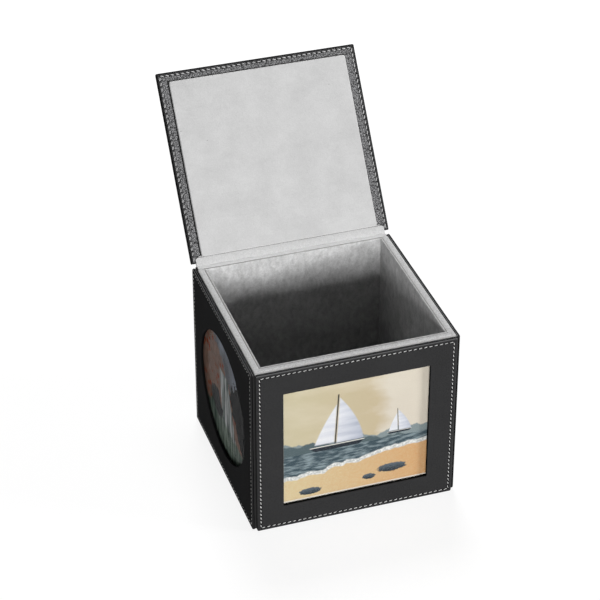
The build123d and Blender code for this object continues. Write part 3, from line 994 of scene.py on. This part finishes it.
# How dark painted shade makes the border at distances from its edge: all along, and more at the needle
# holes.
border_marks = (np.array([1.2, 1.9, 2.3, 2.75, 2.95, 3.3, 3.8]) * mm,
                [0.75, 0.65, 0.30, 0.15, 0.45, 0.35, 0], [0.0, 0.1, 0.6, 0.5, 0.55, 0.5, 0])
fold_shade = 0.75             # and painted shade on its folded edge, all over
hole_share = 0.2             # of a stitch
lid_step = 0.48 * mm         # spacing of the mesh round the lid
lid_insets = np.array([1.2, 1.5, 1.8, 2.0, 2.2, 2.4, 2.55, 2.7, 2.85, 3.05, 3.3, 3.7, 4.3,
                       5.0]) * mm
crush_size = 1.05 * mm       # of the pillows of the crushed grain
crush_depth = 0.32 * mm
crush_turn = -0.75           # from the lid's width to their length
wrinkle_size = 0.6 * mm


def on_lid(x, along, out):
    """A point of the open lid: across, along it from the hinge line, and out from its inside face."""
    x, along, out = np.broadcast_arrays(x, along, out)
    return np.stack([x, hinge_y + along * math.cos(lid_slope) + out * math.sin(lid_slope),
                     hinge_z + along * math.sin(lid_slope) - out * math.cos(lid_slope)], -1)


lid_middle = (lid_start + lid_end) / 2
lid_half_length = (lid_end - lid_start) / 2
share_x, share_s = rectangle_samples(lid_half, lid_half_length, lid_step)
lid_phase = stitch_phase(share_x, share_s, lid_half, lid_half_length, lid_seam_inset)
at_hinge = share_s == -1
in_face, down_face = quarter(lid_face_round)


def raised(flat, out):
    """The points of an outline, all at one height or each at its own."""
    return np.concatenate([flat, np.broadcast_to(out, len(flat))[:, None]], -1)


def middle_line(share, half_u, half_v):
    """The line in the middle of a rectangle on which the rings that fill it close."""
    return np.stack([share * (half_u - half_v), 0 * share], -1)


def lid_ring(inset, out, seamed):
    """One ring of the lid's cover, inset from its outline; the seam pulls it in on three sides."""
    flat = rounded(share_x, share_s, lid_half - inset, lid_half_length - inset, lid_corner - inset)
    relief = seam_relief(inset, lid_phase, lid_seam_inset, lid_seam_depth) if seamed else edge_swell
    towards_inside = 1 if out < lid_thickness / 2 else -1
    return raised(flat, out + towards_inside * np.where(at_hinge, edge_swell, relief))


def border_opening(groove):
    """The outline inside the border, grown by so many times the pressed grooves: the far side and
    the two long sides, each ending in the slant beside the hinge.  On the hinge side it runs just
    inside the edge."""
    x = share_x * (lining_half + np.where(share_x < 0, groove_left, groove_right) * groove)
    end = lining_end + groove_far * groove
    s = (share_s * 0.5 + 0.5) * (end - border_foot) + border_foot
    widening = np.clip((slant_end - s) / (slant_end - slant_start), 0, 1)
    return np.stack([x + share_x * widening * (hinge_half - lining_half), s - lid_middle], -1)


closing = middle_line(share_x, lid_half, lid_half_length)
rings = [raised(closing, lid_thickness - edge_swell)]
rings += [lid_ring(inset, lid_thickness, True) for inset in lid_insets[::-1]]
rings += [lid_ring(inset, lid_thickness - down, False) for inset, down in zip(in_face, down_face)]
rings += [lid_ring(inset, down, False) for inset, down in zip(in_face[::-1], down_face[::-1])]
rings += [lid_ring(inset, 0, True) for inset in lid_insets]
border_row = len(rings) - len(lid_insets)    # where the turned-in border starts
folded_row = border_row - 2 * len(in_face)   # and the folded edge
opening_ring = raised(border_opening(groove_rows[0][0]), edge_swell)
rings += [rings[-1] * (1 - share) + opening_ring * share for share in (0.35, 0.7)]
rings += [raised(border_opening(groove), out) for groove, out in groove_rows]
shell = np.array(rings + [raised(closing, border_depth)])
# Inside the hinge's width the border gives way to the board, which the hinge strip covers.
x, s, out = shell[..., 0], shell[..., 1] + lid_middle, shell[..., 2]
bare = (np.abs(x) < hinge_half) & (s < slant_start) & (out < border_depth)
shell[..., 2] = np.where(bare, border_depth, out)
# The mitres at the free corners.
to_mitre = np.abs((lid_half - np.abs(x)) - (lid_end - s)) / math.sqrt(2)
near_corner = (np.maximum(lid_half - np.abs(x), lid_end - s) < mitre_length) & (
    shell[..., 2] < border_depth)
shell[..., 2] += crease_depth * np.exp(-(to_mitre / crease_width) ** 2) * near_corner

# Painted shade on the lid's cover: the folded edge, the border along its edge and at the needle holes,
# and the groove by the lining.
painted_shade = np.zeros(shell.shape[:2])
painted_shade[folded_row + 1:border_row - 1] = fold_shade
holes = np.exp(-((lid_phase - np.round(lid_phase)) / hole_share) ** 2)
for row, inset in enumerate(lid_insets, border_row):
    all_along, at_holes = (np.interp(inset, border_marks[0], marks) for marks in border_marks[1:])
    painted_shade[row] = np.where(at_hinge, 0, all_along + holes * at_holes)
painted_shade[border_row + len(lid_insets) + 3:] = 1  # painted shadow of the raised lining, from the middle of the groove inwards


def crushed_recipe(place):
    """Crushed grain: short pillows that lie aslant, shiny and painted greyish on top as a painted sheen
    over the black leather, parted by cracks darkened black with painted shade."""
    flat = place.node("Mapping", inputs={"Vector": warped(place, 4 * mm, 1.2 * mm),
                                         "Rotation": (-lid_slope, 0, crush_turn)})
    slanted = stretched(flat, 0.55, 1, 1)
    cells = slanted.node("TexVoronoi", {"feature": "DISTANCE_TO_EDGE"},
                         {"Vector": slanted, "Scale": 1 / crush_size})
    pillow = (cells * 2.4).clamp()
    wrinkles = noise(slanted, wrinkle_size, 3)
    crack_shade = (0.10 - cells).inside(0.14) * 0.95
    painted_shade = mark(place, "Y")
    relief = bump(place, pillow * (2 - pillow) * 0.7 + wrinkles * 0.5, crush_depth)
    # Painted sheen: the base colour is lifted from the leather's black to grey, as a reflection would.
    gloss_and_painted_sheen = place.node("BsdfPrincipled", inputs={
        "Base Color": tones(wrinkles, leather_black, 2.4, 9.6),
        "Roughness": 0.34 + wrinkles * 0.16, "Specular IOR Level": 0.55, "Normal": relief})
    # Painted shade in the cracks and wherever the mesh is marked dark.
    shade_black = place.node("BsdfPrincipled", inputs={
        "Base Color": shade(leather_black, 0.35), "Roughness": 0.85, "Specular IOR Level": 0.02,
        "Normal": relief})
    return place.node("MixShader", inputs={0: (1 - crack_shade) * (1 - painted_shade), 1: shade_black, 2: gloss_and_painted_sheen})


faces = grid_faces(*shell.shape[:2], closed_columns=True)
kinds = (np.arange(len(faces)) // shell.shape[1] >= border_row).astype(np.int32)
cover = new_piece("lid_cover", on_lid(x, s, shell[..., 2]), faces,
                  [panel_leather, new_material("lid_leather", crushed_recipe)], shade_marks(painted_shade), kinds)
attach(cover, "lid")
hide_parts("lid_leather")

# ---- Topstitching of the lid
# One seam along its three free edges shows as the same white thread outside, and inside as the
# grey bobbin thread, pulled deep into the leather.
bobbin_grey = (0.62, 0.62, 0.62, 1)
bobbin_size, bobbin_slant = 1.3, -0.45 * mm
grey_thread = new_material("grey_thread", thread_recipe(bobbin_grey))
seam_x = lid_half - lid_seam_inset
seam_start = 1.2 * mm        # from the lid board's edge by the hinge
seam_low, seam_high = lid_start + seam_start, lid_end - lid_seam_inset
corners = [(-seam_x, seam_low), (-seam_x, seam_high), (seam_x, seam_high), (seam_x, seam_low)]
counts = [int(round(run / stitch_lengths[0])) for run in (seam_high - seam_low, 2 * seam_x)]
counts.append(counts[0])
for face, level, flip, size, slant, thread in (
        ("inside", 0.0, -1, bobbin_size, bobbin_slant, grey_thread),
        ("outside", lid_thickness, 1, 1.0, stitch_slant, white_thread)):
    seam_piece(f"lid_{face}_stitches", corners, counts, -edge_swell,
               lambda beads: on_lid(beads[..., 0], beads[..., 1], level + flip * beads[..., 2]),
               "lid", size, slant, thread)

# ---- Raised lining of the lid
# Suede over a card, glued into the border and a little proud of it.  When the lid is closed it
# lies over the rim.
lining_proud = 0.6 * mm      # of the border's face
lining_round = 0.8 * mm
lining_dip = 0.10 * mm
lining_corner = 1.2 * mm
lining_step = 2.2 * mm       # spacing of the mesh round the lining, and its rows in from the edge
lining_insets = np.array([1.5, 3, 6, 10, 16, 24, 34, 45, 55]) * mm
half_x, half_s = lining_half, (lining_end - lining_start) / 2
share_x, share_s = rectangle_samples(half_x, half_s, lining_step)
in_edge, down_edge = quarter(lining_round, 7)
rows = [(0, border_depth), *zip(in_edge[::-1], down_edge[::-1] - lining_proud),
        *((inset, -lining_proud) for inset in lining_insets)]
closing = middle_line(share_x, half_x, half_s)
shell = np.array([raised(closing, border_depth)]
                 + [raised(rounded(share_x, share_s, half_x - inset, half_s - inset,
                                   lining_corner - inset), out) for inset, out in rows]
                 + [raised(closing, -lining_proud)])
on_face = shell[..., 2] <= -lining_proud + 1e-9
shell[..., 2] += on_face * lining_dip * (0.5 + 0.5 * uneven(shell[..., 0], shell[..., 1], 21))
lid_suede = new_material("lid_suede", suede_recipe((0.4, 1, 1), 0.24, 0.08, 0.10, 0.24, specks=0.8))
lining = new_piece("lid_raised_lining",
                   on_lid(shell[..., 0], shell[..., 1] + lining_start + half_s, shell[..., 2]),
                   grid_faces(*shell.shape[:2], closed_columns=True), [lid_suede])
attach(lining, "lid")
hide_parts("lid_lining_suede")

# ---- Hinge
# Leather outside and suede inside, bonded together across the gap.  The leather goes from the back
# panel up to the lid board's edge, and the suede from the back wall's lip to the raised lining.
# They bend where the lid turns.
suede_thickness = 0.4 * mm
hinge_groove = 0.30 * mm     # depth and width of the creases in the suede
rim_painted_light = 0.28              # how much paler the suede is painted on the rim's side of the fold, as painted light
band_columns = 49            # of the mesh across a strip


def smooth_path(points, rounds, count):
    """A path with its corners rounded, as evenly spaced points: each round of Chaikin's rule puts
    two points on every run, at a quarter and at three quarters."""
    path = np.array(points, float)
    for _ in range(rounds):
        quarter_way = path[:-1] * 0.75 + path[1:] * 0.25
        far_way = path[:-1] * 0.25 + path[1:] * 0.75
        path = np.concatenate([path[:1], np.stack([quarter_way, far_way], 1).reshape(-1, 2), path[-1:]])
    steps = np.concatenate([[0], np.cumsum(np.linalg.norm(np.diff(path, axis=0), axis=1))])
    even = np.linspace(0, steps[-1], count)
    return np.stack([np.interp(even, steps, path[:, i]) for i in (0, 1)], -1), even


def band(name, path, half_width, thickness, groove, painted_light, material, end):
    """A strip along a path in the YZ plane, to the right of its direction, or to the left where its
    thickness is negative.  Its argument end is not used."""
    ahead = np.gradient(path, axis=0)
    ahead /= np.linalg.norm(ahead, axis=1)[:, None]
    normal = np.stack([-ahead[:, 1], ahead[:, 0]], -1)
    upper = path - normal * groove[:, None]
    lower = path - normal * thickness
    x_share = np.linspace(-1, 1, band_columns)
    x_share = np.concatenate([x_share, x_share[::-1]])
    is_upper = (np.arange(2 * band_columns) < band_columns)[None, :, None]
    yz = np.where(is_upper, upper[:, None], lower[:, None])
    points = np.concatenate([(half_width[:, None] * x_share)[..., None], yz], -1)
    marks = np.zeros(points.shape[:2] + (2,))
    marks[..., 0] = painted_light[:, None]
    piece = new_piece(name, points, tube_faces(points), [material], marks)
    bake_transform(piece)
    return piece


def lid_yz(along, out):
    """The same as on_lid, in the YZ plane."""
    return tuple(on_lid(0.0, along, out)[1:])


wall_back_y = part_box("back_lining_suede")[1].y
fold_y = core_y - suede_thickness / 2
corner_points = [(wall_back_y, rim_z - 0.45 * mm), (wall_back_y + 0.3 * mm, rim_z),
                 (fold_y - 0.6 * mm, rim_z), (fold_y, rim_z), lid_yz(lid_start, 0),
                 lid_yz(lining_start + 0.8 * mm, 0)]
path, travel = smooth_path(corner_points, 3, 60)
fold_at = travel[np.argmin(np.abs(path[:, 0] - fold_y))]
grooves = np.zeros(len(travel))
for place in (0.2 * mm, fold_at, travel[-1] - 0.8 * mm):
    grooves += hinge_groove * np.exp(-((travel - place) / hinge_groove) ** 2)
along_lid = ((path[:, 0] - hinge_y) * math.cos(lid_slope)
             + (path[:, 1] - hinge_z) * math.sin(lid_slope))
narrowing = np.clip((along_lid - slant_start) / (slant_end - slant_start), 0, 1)
# Painted light: the suede on the rim's side of the fold is painted paler.
painted_light = rim_painted_light * np.clip((fold_at - travel) / (0.4 * mm) + 0.2, 0, 1)
inner_strip = band("hinge_suede", path, hinge_half - narrowing * (hinge_half - lining_half),
                   suede_thickness, grooves, painted_light, flat_suede,
                   lid_yz(lid_start + 0.5 * mm, 0))
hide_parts("hinge_lining")

# The leather's path goes down from the lid board's edge, turns towards the box and goes on down.
leather_thickness = 0.42 * mm
leather_gap = 0.45 * mm      # from the core to its path, which turns this far below the board's top
leather_along = 0.75 * mm    # from the hinge line to its path on the lid
leather_foot = 4 * mm        # height of its lower end
below, above = (core_y + leather_gap, board_top - leather_gap), lid_yz(leather_along, 0.9 * mm)
path, _ = smooth_path([lid_yz(leather_along, lid_thickness - 0.1 * mm), above, below,
                       (below[0], leather_foot)], 3, 90)
level = np.zeros(len(path))
outer_strip = band("hinge_leather_band", path, level + hinge_half, -leather_thickness, level, level,
                   panel_leather, above)
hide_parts("hinge_leather")
